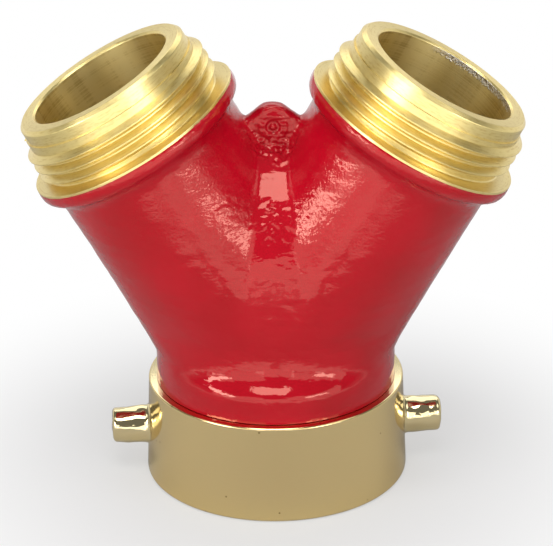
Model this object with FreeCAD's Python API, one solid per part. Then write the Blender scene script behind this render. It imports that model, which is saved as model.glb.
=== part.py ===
import FreeCAD, Part
import math
import os

os.makedirs("parts", exist_ok=True)

# Driving dimensions in millimetres: a wye with 1 1/2 inch hose threads, 9 to the inch
# Frame: +Z up the inlet axis, -Y towards the front, the swivel's bottom face at Z = 0

# Outlets, measured along each branch axis
branch_angle = 30.0
branch_crossing_z = 32.3
outlet_reach = 84.0
outlet_bore_r = 18.6
outlet_bore_chamfer = 0.5
nipple_len = 15.4
pilot_len = 4.0
lip_chamfer = 0.9
thread_major_r = 25.27
thread_depth = 1.85
thread_pitch = 2.822
thread_flank_angle = 30.0
collar_r = 27.9
collar_len = 2.4
collar_back_round = 2.3
collar_foot_round = 1.2
branch_r = 24.4
branch_blend_start = 50.0

# Cast web and boss in the crotch
crotch_strip_w = 7.4
crotch_foot_z = 52.0
web_top_z = 93.9
web_thick = 4.4
boss_r = 5.5
boss_z = 92.6
boss_len = 5.2
boss_edge_round = 1.6
hump_slope = 40.0
hump_foot_round = 3.0
centre_mark_r = 1.4
centre_dot_r = 0.75
centre_mark_depth = 0.4

# Neck, and the tail that runs down inside the swivel
waist_r = 29.6
neck_flange_r = 30.0
neck_flange_h = 6.9
neck_flange_round = 0.8
neck_flange_top_round = 0.35
waist_h = 0.5
cove_h = 9.6
cove_sections = 6
belly_half_depth = 25.6
neck_gap = 0.5
tail_r = 26.3
tail_chamfer = 0.8
inlet_bore_r = 19.05
chamber_r = 22.0

# Swivel ring and its lugs
ring_wall = 6.4
ring_top_draft = 0.2
ring_h = 25.3
ring_top_round = 2.4
ring_foot_round = 0.8
female_thread_len = 11.0
female_thread_clearance = 0.4
female_thread_chamfer = 1.2
lug_root_r = 4.75
lug_end_r = 4.45
lug_len = 8.7
lug_end_round = 1.0
lug_flare = 1.5
lug_z = 11.9
swivel_turn = 3.7

# Ball race, its loading plug and the hose gasket
tail_clearance = 0.3
ball_r = 2.38
ball_count = 33
ball_play = 0.08
race_z = 20.6
plug_r = 2.6
plug_play = 0.05
plug_sunk = 0.5
plug_slot_w = 1.0
plug_slot_depth = 1.0
gasket_thick = 4.3
gasket_play = 0.2
gasket_edge_round = 0.5

# Derived places and sizes
thread_root_r = thread_major_r - thread_depth
shoulder_reach = outlet_reach - nipple_len
flange_bottom_z = ring_h + neck_gap
flange_top_z = flange_bottom_z + neck_flange_h
waist_z = flange_top_z + waist_h
cove_top_z = waist_z + cove_h
tail_end_z = female_thread_len + gasket_thick + tail_clearance
ring_bore_r = tail_r + tail_clearance
ring_r = ring_bore_r + ring_wall
female_thread_r = thread_root_r + female_thread_clearance
race_r = (tail_r + ring_bore_r) / 2
groove_r = ball_r + ball_play
ring_top_r = ring_r - ring_top_draft

origin = FreeCAD.Vector(0, 0, 0)
x_axis = FreeCAD.Vector(1, 0, 0)
y_axis = FreeCAD.Vector(0, 1, 0)
z_axis = FreeCAD.Vector(0, 0, 1)


def rounded_face(corners):
    """Face in the XZ plane from corners (r, z, rounding), each corner turned by a tangent arc."""
    edges = []
    last = None
    first = None
    count = len(corners)
    for i, (r, z, rounding) in enumerate(corners):
        corner = FreeCAD.Vector(r, 0, z)
        before = FreeCAD.Vector(corners[i - 1][0], 0, corners[i - 1][1])
        after = FreeCAD.Vector(corners[(i + 1) % count][0], 0, corners[(i + 1) % count][1])
        to_before = (before - corner).normalize()
        to_after = (after - corner).normalize()
        half = to_before.getAngle(to_after) / 2
        run = rounding / math.tan(half)
        start = corner + to_before * run
        end = corner + to_after * run
        if last is not None and last.distanceToPoint(start) > Part.Precision.confusion():
            edges.append(Part.makeLine(last, start))
        if rounding > 0:
            inward = (to_before + to_after).normalize()
            middle = corner + inward * (rounding / math.sin(half) - rounding)
            edges.append(Part.Arc(start, middle, end).toShape())
        first = first or start
        last = end
    if last.distanceToPoint(first) > Part.Precision.confusion():
        edges.append(Part.makeLine(last, first))
    return Part.Face(Part.Wire(edges))


def turned(corners):
    """Solid of revolution about Z from corners (r, z, rounding)."""
    return rounded_face(corners).revolve(origin, z_axis, 360)


def on_branch(shape, side):
    """Shape built along Z moved to a branch axis: side is +1 for the right branch, -1 for the left."""
    placed = shape.copy()
    placed.rotate(origin, y_axis, side * branch_angle)
    placed.translate(z_axis * branch_crossing_z)
    return placed


def thread_corners():
    """Corners of the outlet from its lip down to the shoulder: lip, pilot and thread ridges."""
    flank_run = thread_depth * math.tan(math.radians(thread_flank_angle))
    crest_half = (thread_pitch - 2 * flank_run) / 4
    lead_top = outlet_reach - pilot_len
    first_crest = lead_top - thread_depth - crest_half
    room = first_crest - crest_half - flank_run - shoulder_reach
    crest_count = 1 + int(room / thread_pitch)
    corners = [
        (thread_root_r - lip_chamfer, outlet_reach, 0),
        (thread_root_r, outlet_reach - lip_chamfer, 0),
        (thread_root_r, lead_top, 0),
    ]
    for i in range(crest_count):
        crest = first_crest - i * thread_pitch
        if i > 0:
            corners.append((thread_root_r, crest + crest_half + flank_run, 0))
        corners.append((thread_major_r, crest + crest_half, 0))
        corners.append((thread_major_r, crest - crest_half, 0))
        corners.append((thread_root_r, crest - crest_half - flank_run, 0))
    corners.append((thread_root_r, shoulder_reach, 0))
    return corners


def make_outlet():
    """One outlet along Z: threaded nipple, flat shoulder, round-backed collar and straight tube."""
    collar_foot = shoulder_reach - collar_len - collar_back_round
    corners = [(0, outlet_reach, 0)] + thread_corners() + [
        (collar_r, shoulder_reach, 0),
        (collar_r, collar_foot, collar_back_round),
        (branch_r, collar_foot, collar_foot_round),
        (branch_r, branch_blend_start, 0),
        (0, branch_blend_start, 0),
    ]
    return turned(corners)


def oval(height, half_width, half_depth):
    """Level oval of four arcs that meet where they face 45 degrees: a circle where its halves are equal."""
    lean = math.cos(math.pi / 4)
    shift = lean * (half_width - half_depth) / (2 * lean - 1)
    side_r = half_width - shift
    join = FreeCAD.Vector(shift + side_r * lean, side_r * lean, height)
    joins = [FreeCAD.Vector(u * join.x, v * join.y, height) for u, v in ((1, -1), (1, 1), (-1, 1), (-1, -1))]
    middles = [
        FreeCAD.Vector(half_width, 0, height),
        FreeCAD.Vector(0, half_depth, height),
        FreeCAD.Vector(-half_width, 0, height),
        FreeCAD.Vector(0, -half_depth, height),
    ]
    arcs = [Part.Arc(joins[i], middles[i], joins[(i + 1) % 4]).toShape() for i in range(4)]
    return Part.Wire(arcs)


def belly_section(height, half_depth):
    """Section of the belly, whose sides run straight from the waist out to the branch tubes."""
    tube_side = on_branch(Part.Vertex(branch_r, 0, branch_blend_start), 1).Point
    spread = (tube_side.x - waist_r) / (tube_side.z - waist_z)
    return oval(height, waist_r + (height - waist_z) * spread, half_depth)


def make_cove():
    """Foot of the belly: round at the waist, then drawn in at front and back by a hollow sweep."""
    sections = []
    for i in range(cove_sections):
        turn = math.pi / 2 * i / (cove_sections - 1)
        height = waist_z + cove_h * (1 - math.cos(turn))
        half_depth = belly_half_depth + (waist_r - belly_half_depth) * (1 - math.sin(turn))
        sections.append(belly_section(height, half_depth))
    return Part.makeLoft(sections, True)


def make_branch_root():
    """Right side of the casting's fork: the oval belly drawn out to the tilted branch tube."""
    belly = belly_section(cove_top_z, belly_half_depth)
    tube_end = on_branch(oval(branch_blend_start, branch_r, branch_r), 1)
    root = Part.makeLoft([belly, tube_end], True, True)
    tube = Part.makeCylinder(branch_r, shoulder_reach - branch_blend_start, z_axis * branch_blend_start)
    return root.fuse(on_branch(tube, 1))


def make_crotch_fill(root):
    """Valley between the branches: a flat bottom that widens downwards and runs out into the belly."""
    tilt = math.radians(branch_angle)
    half = crotch_strip_w / 2
    top_z = branch_crossing_z + (half * math.cos(tilt) + branch_r) / math.sin(tilt)
    top = FreeCAD.Vector(half, 0, top_z)
    belly = on_branch(Part.Vertex(z_axis * branch_blend_start), 1).Point - z_axis * cove_top_z
    foot = z_axis * cove_top_z + belly * ((crotch_foot_z - cove_top_z) / belly.z)
    normal = (foot - top).cross(y_axis).normalize()
    edge = root.slice(normal, normal.dot(top))[0]
    return Part.makeLoft([edge, Part.Wire(edge.mirror(origin, x_axis).Edges)], True, True)


def make_fork():
    """Two-branched belly of the casting, with the valley between its branches."""
    root = make_branch_root()
    reach = outlet_reach + collar_r
    right_side = Part.makeBox(reach, 2 * reach, 2 * reach, FreeCAD.Vector(0, -reach, 0))
    half_fork = root.common(right_side)
    return half_fork.fuse([half_fork.mirror(origin, x_axis), make_crotch_fill(root)])


def make_web():
    """Plate across the fork, level between the collars, with a hump that slopes up to the boss."""
    top_half = (web_top_z - branch_crossing_z) * math.tan(math.radians(branch_angle))
    slope = math.radians(hump_slope)
    hump_peak_z = boss_z + boss_r / math.cos(slope)
    hump_half = (hump_peak_z - web_top_z) / math.tan(slope)
    corners = [
        (0, branch_crossing_z, 0),
        (top_half, web_top_z, 0),
        (hump_half, web_top_z, hump_foot_round),
        (0, hump_peak_z, boss_r),
        (-hump_half, web_top_z, hump_foot_round),
        (-top_half, web_top_z, 0),
    ]
    web = rounded_face(corners).extrude(y_axis * web_thick)
    web.translate(y_axis * (-web_thick / 2))
    return web


def make_boss():
    """Round boss on the web, its axis front to back, with a ringed centre mark on its front."""
    half = boss_len / 2
    boss = turned([
        (0, -half, 0),
        (boss_r, -half, boss_edge_round),
        (boss_r, half, boss_edge_round),
        (0, half, 0),
    ])
    mark = Part.makeCylinder(centre_mark_r, centre_mark_depth, z_axis * (half - centre_mark_depth))
    dot = Part.makeCylinder(centre_dot_r, centre_mark_depth, z_axis * (half - centre_mark_depth))
    boss = boss.cut(mark.cut(dot))
    boss.rotate(origin, x_axis, 90)
    boss.translate(z_axis * boss_z)
    return boss


def make_race():
    """Ring of space that the balls run in."""
    return Part.makeTorus(race_r, groove_r, z_axis * race_z, z_axis)


def make_body():
    """The one-piece casting: fork, outlets, crotch web, neck flange and grooved tail."""
    neck = turned([
        (0, tail_end_z, 0),
        (tail_r, tail_end_z, tail_chamfer),
        (tail_r, flange_bottom_z, 0),
        (neck_flange_r, flange_bottom_z, neck_flange_round),
        (neck_flange_r, flange_top_z, neck_flange_top_round),
        (waist_r, waist_z, 0),
        (0, waist_z, 0),
    ])
    outlets = [on_branch(make_outlet(), side) for side in (-1, 1)]
    body = make_fork().fuse([neck, make_cove(), make_web(), make_boss()] + outlets)
    bore = turned([
        (0, 0, 0),
        (outlet_bore_r, 0, 0),
        (outlet_bore_r, outlet_reach - outlet_bore_chamfer, 0),
        (outlet_bore_r + outlet_bore_chamfer, outlet_reach, 0),
        (0, outlet_reach, 0),
    ])
    waterway = [on_branch(bore, side) for side in (-1, 1)]
    waterway.append(Part.makeCylinder(inlet_bore_r, branch_crossing_z))
    waterway.append(Part.makeSphere(chamber_r, z_axis * branch_crossing_z))
    return body.cut(waterway + [make_race()]).removeSplitter()


def make_lug():
    """One spanner lug lying along +X from inside the ring's wall, with a flared root and a rounded end."""
    root = ring_bore_r + groove_r
    flare_r = lug_root_r + lug_flare
    wall = math.sqrt(ring_r ** 2 - flare_r ** 2)
    tip = ring_r + lug_len
    lug = turned([
        (0, root, 0),
        (flare_r, root, 0),
        (flare_r, wall, 0),
        (lug_root_r, wall, lug_flare),
        (lug_end_r, tip, lug_end_round),
        (0, tip, 0),
    ])
    lug.rotate(origin, y_axis, 90)
    lug.translate(z_axis * lug_z)
    return lug


def plug_hole(radius, start, end):
    """Radial cylinder at the height of the race, on the ring's back."""
    hole = Part.makeCylinder(radius, end - start, FreeCAD.Vector(0, start, race_z), y_axis)
    return hole


def turned_with_swivel(shape):
    """Shape turned with the swivel to the angle at which it rests."""
    placed = shape.copy()
    placed.rotate(origin, z_axis, swivel_turn)
    return placed


def make_ring():
    """Swivel ring with two lugs, plain threaded bore, gasket ledge, ball groove and plug hole."""
    ring = turned([
        (female_thread_r + female_thread_chamfer, 0, 0),
        (ring_r, 0, ring_foot_round),
        (ring_top_r, ring_h, ring_top_round),
        (ring_bore_r, ring_h, 0),
        (ring_bore_r, female_thread_len, 0),
        (female_thread_r, female_thread_len, 0),
        (female_thread_r, female_thread_chamfer, 0),
    ])
    lug = make_lug()
    ring = ring.fuse([lug, lug.mirror(origin, x_axis)])
    hole = plug_hole(plug_r + plug_play, race_r, ring_r)
    return turned_with_swivel(ring.cut([make_race(), hole]).removeSplitter())


def make_plug():
    """Slotted plug screw that closes the hole through which the balls are loaded."""
    end = ring_top_r - plug_sunk
    plug = plug_hole(plug_r, ring_bore_r, end)
    slot = Part.makeBox(
        2 * plug_r,
        plug_slot_depth,
        plug_slot_w,
        FreeCAD.Vector(-plug_r, end - plug_slot_depth, race_z - plug_slot_w / 2),
    )
    return turned_with_swivel(plug.cut([make_race(), slot]))


def make_balls():
    """Full ring of loose balls in the race."""
    balls = []
    for i in range(ball_count):
        angle = 2 * math.pi * i / ball_count
        place = FreeCAD.Vector(race_r * math.cos(angle), race_r * math.sin(angle), race_z)
        balls.append(Part.makeSphere(ball_r, place))
    return Part.makeCompound(balls)


def make_gasket():
    """Flat hose gasket on the ledge above the swivel's thread."""
    outer = ring_bore_r - gasket_play
    top = female_thread_len + gasket_thick
    return turned([
        (inlet_bore_r, female_thread_len, gasket_edge_round),
        (outer, female_thread_len, gasket_edge_round),
        (outer, top, gasket_edge_round),
        (inlet_bore_r, top, gasket_edge_round),
    ])


pieces = {
    "wye_body": make_body(),
    "swivel_ring": make_ring(),
    "race_balls": make_balls(),
    "race_plug": make_plug(),
    "inlet_gasket": make_gasket(),
}
for name, shape in pieces.items():
    shape.exportStep(f"parts/{name}.step")
    print(name, len(shape.Solids), shape.isValid(), round(shape.Volume, 1), shape.BoundBox)
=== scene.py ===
"""Fire hose wye: an enamelled brass casting with two turned outlets over a polished swivel ring.

Sizes are in millimetres and angles in degrees, apart from the studio's sizes, which are in metres.
"""

import logging
import math
from dataclasses import dataclass
from enum import Enum

import bmesh
import bpy
from mathutils import Matrix, Vector, noise


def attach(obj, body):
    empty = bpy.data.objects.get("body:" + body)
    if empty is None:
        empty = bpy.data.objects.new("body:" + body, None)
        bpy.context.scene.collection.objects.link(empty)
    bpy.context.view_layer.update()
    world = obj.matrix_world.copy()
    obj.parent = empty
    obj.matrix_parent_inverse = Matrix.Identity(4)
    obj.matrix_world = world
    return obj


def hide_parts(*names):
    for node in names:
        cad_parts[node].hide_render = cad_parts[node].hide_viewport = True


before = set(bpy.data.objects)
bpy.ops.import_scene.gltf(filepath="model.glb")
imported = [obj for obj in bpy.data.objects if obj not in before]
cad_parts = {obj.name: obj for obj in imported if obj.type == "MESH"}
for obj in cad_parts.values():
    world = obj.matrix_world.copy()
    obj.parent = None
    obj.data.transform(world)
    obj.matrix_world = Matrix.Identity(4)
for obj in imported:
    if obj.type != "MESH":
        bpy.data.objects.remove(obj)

log = logging.getLogger("fire_hose_wye")

MM = 0.001
PHOTO_WIDTH_PX = 553
ROUND_SEGMENTS = 5
WELD_MM = 0.002
CAD_WELD_MM = 0.001

Corner = tuple[float, float, float]


class Side(Enum):
    """The two branches of the fork, seen from the front."""

    LEFT = -1
    RIGHT = 1


class Body(Enum):
    """The bodies of the frame that new pieces ride on."""

    CASTING = "body"
    SWIVEL = "swivel"


class Join(Enum):
    """The ways that one solid works on another."""

    WELD = "UNION"
    CUT = "DIFFERENCE"


class PanelShape(Enum):
    """The outlines of the lamps' faces."""

    OBLONG = "RECTANGLE"
    OVAL = "ELLIPSE"


def linear(code: str) -> tuple[float, float, float, float]:
    """Turn an sRGB hex code into a linear colour.

    Args:
        code: Six hex digits after a hash sign.

    Returns:
        Linear red, green and blue, with an alpha of 1.
    """
    channels = [int(code[i:i + 2], 16) / 255 for i in (1, 3, 5)]
    red, green, blue = [c / 12.92 if c <= 0.04045 else ((c + 0.055) / 1.055) ** 2.4 for c in channels]
    return red, green, blue, 1.0


def ease(low: float, high: float, value: float) -> float:
    """Rise smoothly from 0 at low to 1 at high.

    Args:
        low: Value where the rise starts.
        high: Value where it ends.
        value: Value to look up.

    Returns:
        A number from 0 to 1.
    """
    share = min(max((value - low) / (high - low), 0), 1)
    return share * share * (3 - 2 * share)


def add_node(tree: bpy.types.NodeTree, kind: str, inputs: dict | None = None, **settings) -> bpy.types.Node:
    """Add a node with its settings, and set or link its inputs.

    Args:
        tree: Node tree that gets the node.
        kind: Blender's name for the node's type.
        inputs: Socket names or numbers, each with a value or with the output socket that feeds it.
        **settings: Properties of the node itself.

    Returns:
        The new node.
    """
    node = tree.nodes.new(kind)
    for name, value in settings.items():
        setattr(node, name, value)
    for name, value in (inputs or {}).items():
        if isinstance(value, bpy.types.NodeSocket):
            tree.links.new(value, node.inputs[name])
        else:
            node.inputs[name].default_value = value
    return node


def per_metre(size_mm: float) -> float:
    """Give the texture scale whose grains are about this many millimetres wide."""
    return 1 / (size_mm * MM)


def turned_solid(corners: list[Corner], steps: int) -> bmesh.types.BMesh:
    """Turn a closed outline about Z, as a lathe does.

    Args:
        corners: Radius, height and set-back of the rounding of each corner, in millimetres.
        steps: Number of facets in the full turn.

    Returns:
        The closed solid.
    """
    bm = bmesh.new()
    verts = [bm.verts.new((r * MM, 0, z * MM)) for r, z, _ in corners]
    bm.faces.new(verts)
    for vert, (_, _, set_back) in zip(verts, corners):
        if set_back > 0:
            bmesh.ops.bevel(
                bm,
                geom=[vert],
                offset=set_back * MM,
                affect="VERTICES",
                segments=ROUND_SEGMENTS,
                profile=0.5,
                material=-1,
            )
    bmesh.ops.delete(bm, geom=bm.faces[:], context="FACES_ONLY")
    bmesh.ops.spin(
        bm, geom=bm.verts[:] + bm.edges[:], axis=(0, 0, 1), angle=2 * math.pi, steps=steps, use_merge=True
    )
    bmesh.ops.remove_doubles(bm, verts=bm.verts, dist=WELD_MM * MM)
    bmesh.ops.recalc_face_normals(bm, faces=bm.faces)
    return bm


def helix_ridge(
    section: list[tuple[float, float]], pitch: float, turns: float, steps: int
) -> bmesh.types.BMesh:
    """Sweep a thread's section up a right-handed helix about Z.

    Args:
        section: Radius and height of each corner of the section, in millimetres.
        pitch: Rise in one turn, in millimetres.
        turns: Number of turns.
        steps: Facets in one turn.

    Returns:
        The closed ridge.
    """
    bm = bmesh.new()
    verts = [bm.verts.new((r * MM, 0, z * MM)) for r, z in section]
    face = bm.faces.new(verts)
    bmesh.ops.spin(
        bm,
        geom=verts + list(face.edges) + [face],
        axis=(0, 0, 1),
        dvec=(0, 0, pitch * MM / steps),
        angle=2 * math.pi * turns,
        steps=round(turns * steps),
    )
    bmesh.ops.recalc_face_normals(bm, faces=bm.faces)
    return bm


def soften(bm: bmesh.types.BMesh, verts: list[bmesh.types.BMVert], rounds: int) -> None:
    """Ease vertices half-way to the middle of their neighbours.

    Args:
        bm: Mesh to change.
        verts: Vertices to ease.
        rounds: How many times.
    """
    for _ in range(rounds):
        bmesh.ops.smooth_vert(bm, verts=verts, factor=0.5, use_axis_x=True, use_axis_y=True, use_axis_z=True)


def joined(parts: list[bmesh.types.BMesh]) -> bmesh.types.BMesh:
    """Put several meshes into one, and free them.

    Args:
        parts: The meshes to put together.

    Returns:
        One mesh that holds them all.
    """
    whole = bmesh.new()
    for part in parts:
        mesh = bpy.data.meshes.new("part")
        part.to_mesh(mesh)
        part.free()
        whole.from_mesh(mesh)
        bpy.data.meshes.remove(mesh)
    return whole


def new_object(name: str, bm: bmesh.types.BMesh, *materials: bpy.types.Material) -> bpy.types.Object:
    """Make an object at the origin from a mesh, with smooth faces and its materials.

    Args:
        name: Name of the object and its mesh.
        bm: Mesh, which is freed.
        *materials: Materials in the order of the mesh's material numbers.

    Returns:
        The new object, in the scene.
    """
    mesh = bpy.data.meshes.new(name)
    bm.to_mesh(mesh)
    bm.free()
    for material in materials:
        mesh.materials.append(material)
    mesh.shade_smooth()
    obj = bpy.data.objects.new(name, mesh)
    bpy.context.scene.collection.objects.link(obj)
    return obj


def apply_modifiers(obj: bpy.types.Object) -> None:
    """Replace an object's mesh with what its modifiers make of it.

    Args:
        obj: Object whose modifiers are applied and removed.
    """
    depsgraph = bpy.context.evaluated_depsgraph_get()
    mesh = bpy.data.meshes.new_from_object(obj.evaluated_get(depsgraph))
    obj.modifiers.clear()
    old = obj.data
    obj.data = mesh
    bpy.data.meshes.remove(old)
    mesh.name = obj.name


def combine(obj: bpy.types.Object, other: bpy.types.Object, join: Join) -> None:
    """Cut another solid out of an object, or weld it on, and delete that other one.

    Args:
        obj: Object that is changed, and that gains the other's materials.
        other: Closed solid, deleted afterwards.
        join: Whether the other is welded on or cut out.
    """
    boolean = obj.modifiers.new("combine", "BOOLEAN")
    boolean.operation = join.value
    boolean.solver = "EXACT"
    boolean.material_mode = "TRANSFER"
    boolean.object = other
    apply_modifiers(obj)
    mesh = other.data
    bpy.data.objects.remove(other)
    bpy.data.meshes.remove(mesh)


def crisp(obj: bpy.types.Object, angle: float) -> None:
    """Shade an object smooth between sharp edges, with its large faces flat up to their rounded rims.

    Args:
        obj: Object to shade.
        angle: Degrees past which an edge is sharp.
    """
    obj.data.shade_smooth()
    obj.data.set_sharp_from_angle(angle=math.radians(angle))
    weighted = obj.modifiers.new("weighted", "WEIGHTED_NORMAL")
    weighted.mode = "FACE_AREA"
    weighted.keep_sharp = True
    apply_modifiers(obj)


def settle(obj: bpy.types.Object, body: Body, slot: str, *nodes: str) -> bpy.types.Object:
    """Hand a finished piece to the frame.

    Args:
        obj: Finished piece.
        body: Body that it rides on.
        slot: Material slot of the record; not used.
        *nodes: CAD nodes that it stands for.

    Returns:
        The same piece.
    """
    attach(obj, body.value)
    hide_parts(*nodes)
    triangles = sum(len(face.vertices) - 2 for face in obj.data.polygons)
    log.info("%s rides on %s, with %d triangles", obj.name, body.value, triangles)
    return obj


@dataclass(frozen=True)
class Finish:
    """A surface finish, which makes one material from nodes."""

    name: str
    colour: str
    shade: str

    def start(self) -> tuple[bpy.types.Material, bpy.types.NodeTree, bpy.types.Node]:
        """Make an empty material.

        Returns:
            The material, its node tree and its Principled shader.
        """
        material = bpy.data.materials.new(self.name)
        material.use_nodes = True
        tree = material.node_tree
        tree.nodes.clear()
        shader = add_node(tree, "ShaderNodeBsdfPrincipled")
        add_node(tree, "ShaderNodeOutputMaterial", {"Surface": shader.outputs["BSDF"]})
        return material, tree, shader

    def mottled(
        self,
        tree: bpy.types.NodeTree,
        shader: bpy.types.Node,
        pattern: bpy.types.NodeSocket,
        limits: tuple[float, float],
    ) -> None:
        """Colour the shader by a pattern, from the shade to the full colour.

        Args:
            tree: Node tree of the material.
            shader: Its Principled shader.
            pattern: Output that gives the pattern.
            limits: Pattern values of the shade and of the full colour.
        """
        tint = add_node(tree, "ShaderNodeValToRGB", {"Fac": pattern})
        for element, position, code in zip(tint.color_ramp.elements, limits, (self.shade, self.colour)):
            element.position = position
            element.color = linear(code)
        tree.links.new(tint.outputs["Color"], shader.inputs["Base Color"])


@dataclass(frozen=True)
class GlossEnamel(Finish):
    """Sprayed gloss enamel on a sand casting: deep red with a warm shine that its sandy skin breaks up."""

    cloud_mm: float = 16.0
    cloud_limits: tuple[float, float] = (0.3, 0.7)
    peel_mm: float = 1.7
    peel_draw: tuple[float, float, float] = (0.45, 0.45, 1.0)
    peel_strength: float = 0.3
    peel_relief_mm: float = 0.34
    sand_mm: float = 0.6
    sand_relief_mm: float = 0.07
    sand_z: tuple[float, float] = (64.0, 76.0)
    least_sand: float = 0.12
    valley_half_width: tuple[float, float] = (2.6, 4.4)
    valley_sand: float = 0.2
    shine: str = "#FFC6B2"
    roughness: float = 0.05
    ior: float = 1.6

    def material(self) -> bpy.types.Material:
        """Build the enamel: clouded red, orange peel, and sand that shows most round the crotch.

        Returns:
            The material.
        """
        material, tree, shader = self.start()
        place = add_node(tree, "ShaderNodeTexCoord").outputs["Object"]
        cloud = add_node(
            tree, "ShaderNodeTexNoise", {"Vector": place, "Scale": per_metre(self.cloud_mm), "Detail": 3.0}
        )
        self.mottled(tree, shader, cloud.outputs["Fac"], self.cloud_limits)
        parts = add_node(tree, "ShaderNodeSeparateXYZ", {"Vector": place})
        aside = add_node(tree, "ShaderNodeMath", {0: parts.outputs["X"]}, operation="ABSOLUTE")
        # Sand comes in with height, and fades along the middle of the valley
        above, beside = [
            add_node(
                tree,
                "ShaderNodeMapRange",
                {"Value": value, "From Min": low * MM, "From Max": high * MM, "To Min": least},
            ).outputs["Result"]
            for value, (low, high), least in (
                (parts.outputs["Z"], self.sand_z, self.least_sand),
                (aside.outputs["Value"], self.valley_half_width, self.valley_sand),
            )
        ]
        coarse = add_node(tree, "ShaderNodeMath", {0: above, 1: beside}, operation="MULTIPLY")
        # The sand's own grain is near 0.3 mm, drawn coarser here so that it shows
        sand = add_node(
            tree, "ShaderNodeTexNoise", {"Vector": place, "Scale": per_metre(self.sand_mm), "Detail": 2.0}
        )
        # The peel runs level, as sprayed paint sags
        level = add_node(tree, "ShaderNodeMapping", {"Vector": place, "Scale": self.peel_draw})
        peel = add_node(
            tree,
            "ShaderNodeTexNoise",
            {"Vector": level.outputs["Vector"], "Scale": per_metre(self.peel_mm), "Detail": 2.0},
        )
        grit = add_node(
            tree,
            "ShaderNodeBump",
            {
                "Height": sand.outputs["Fac"],
                "Strength": coarse.outputs["Value"],
                "Distance": self.sand_relief_mm * MM,
            },
        )
        skin = add_node(
            tree,
            "ShaderNodeBump",
            {
                "Height": peel.outputs["Fac"],
                "Strength": self.peel_strength,
                "Distance": self.peel_relief_mm * MM,
                "Normal": grit.outputs["Normal"],
            },
        )
        tree.links.new(skin.outputs["Normal"], shader.inputs["Normal"])
        shader.inputs["Roughness"].default_value = self.roughness
        shader.inputs["IOR"].default_value = self.ior
        shader.inputs["Specular Tint"].default_value = linear(self.shine)
        return material


@dataclass(frozen=True)
class RawPatch:
    """Gritty casting that the tool never reached, speckled from a dark tone up to painted near-white glints:
    an arc of a bore, in degrees and millimetres.
    """

    first: float
    last: float
    low: float
    first_fade: tuple[float, float] = (-8.0, 4.0)
    last_fade: tuple[float, float] = (8.0, -12.0)
    low_fade: tuple[float, float] = (1.0, 1.4)
    ragged: float = 2.4
    grit_mm: float = 0.5
    grit_limits: tuple[float, float] = (0.38, 0.55)
    grit_relief: float = 6.0
    # Dark tone of the grains, and the near-white of their painted glints
    dark_grain: str = "#9C8A62"
    grain_glint: str = "#F2EDE2"

    def leave(
        self,
        tree: bpy.types.NodeTree,
        shader: bpy.types.Node,
        place: bpy.types.NodeSocket,
        turn: bpy.types.NodeSocket,
        height: bpy.types.NodeSocket,
        tool: bpy.types.Node,
    ) -> None:
        """Lay the patch over a turned finish.

        Args:
            tree: Node tree of the material.
            shader: Its Principled shader, whose colour is linked already.
            place: Coordinates about the turning axis.
            turn: Angle about the axis.
            height: Height along the axis.
            tool: Bump node of the tool rings, whose height gains the grit.
        """
        grit = add_node(
            tree, "ShaderNodeTexNoise", {"Vector": place, "Scale": per_metre(self.grit_mm), "Detail": 4.0}
        ).outputs["Fac"]
        ragged = add_node(
            tree, "ShaderNodeMath", {0: grit, 1: self.ragged * MM, 2: height}, operation="MULTIPLY_ADD"
        ).outputs["Value"]
        above, begun, ended = [
            add_node(
                tree, "ShaderNodeMapRange", {"Value": value, "From Min": edges[0], "From Max": edges[1]}
            ).outputs["Result"]
            for value, edges in (
                (ragged, [(self.low + fade) * MM for fade in self.low_fade]),
                (turn, [math.radians(self.first + fade) for fade in self.first_fade]),
                (turn, [math.radians(self.last + fade) for fade in self.last_fade]),
            )
        ]
        within = add_node(tree, "ShaderNodeMath", {0: begun, 1: ended}, operation="MULTIPLY")
        raw = add_node(
            tree, "ShaderNodeMath", {0: above, 1: within.outputs["Value"]}, operation="MULTIPLY"
        ).outputs["Value"]
        # The grains are coloured from a dark tone up to near-white painted glints of the rough metal
        grain_glitter = add_node(tree, "ShaderNodeValToRGB", {"Fac": grit})
        shades = (self.dark_grain, self.grain_glint)
        for element, position, code in zip(grain_glitter.color_ramp.elements, self.grit_limits, shades):
            element.position = position
            element.color = linear(code)
        turned = shader.inputs["Base Color"].links[0].from_socket
        blend = add_node(
            tree,
            "ShaderNodeMix",
            {"Factor": raw, "A": turned, "B": grain_glitter.outputs["Color"]},
            data_type="RGBA",
        )
        tree.links.new(blend.outputs["Result"], shader.inputs["Base Color"])
        coarse = add_node(tree, "ShaderNodeMath", {0: grit, 1: raw}, operation="MULTIPLY")
        rings = tool.inputs["Height"].links[0].from_socket
        relief = add_node(
            tree,
            "ShaderNodeMath",
            {0: coarse.outputs["Value"], 1: self.grit_relief, 2: rings},
            operation="MULTIPLY_ADD",
        )
        tree.links.new(relief.outputs["Value"], tool.inputs["Height"])


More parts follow.
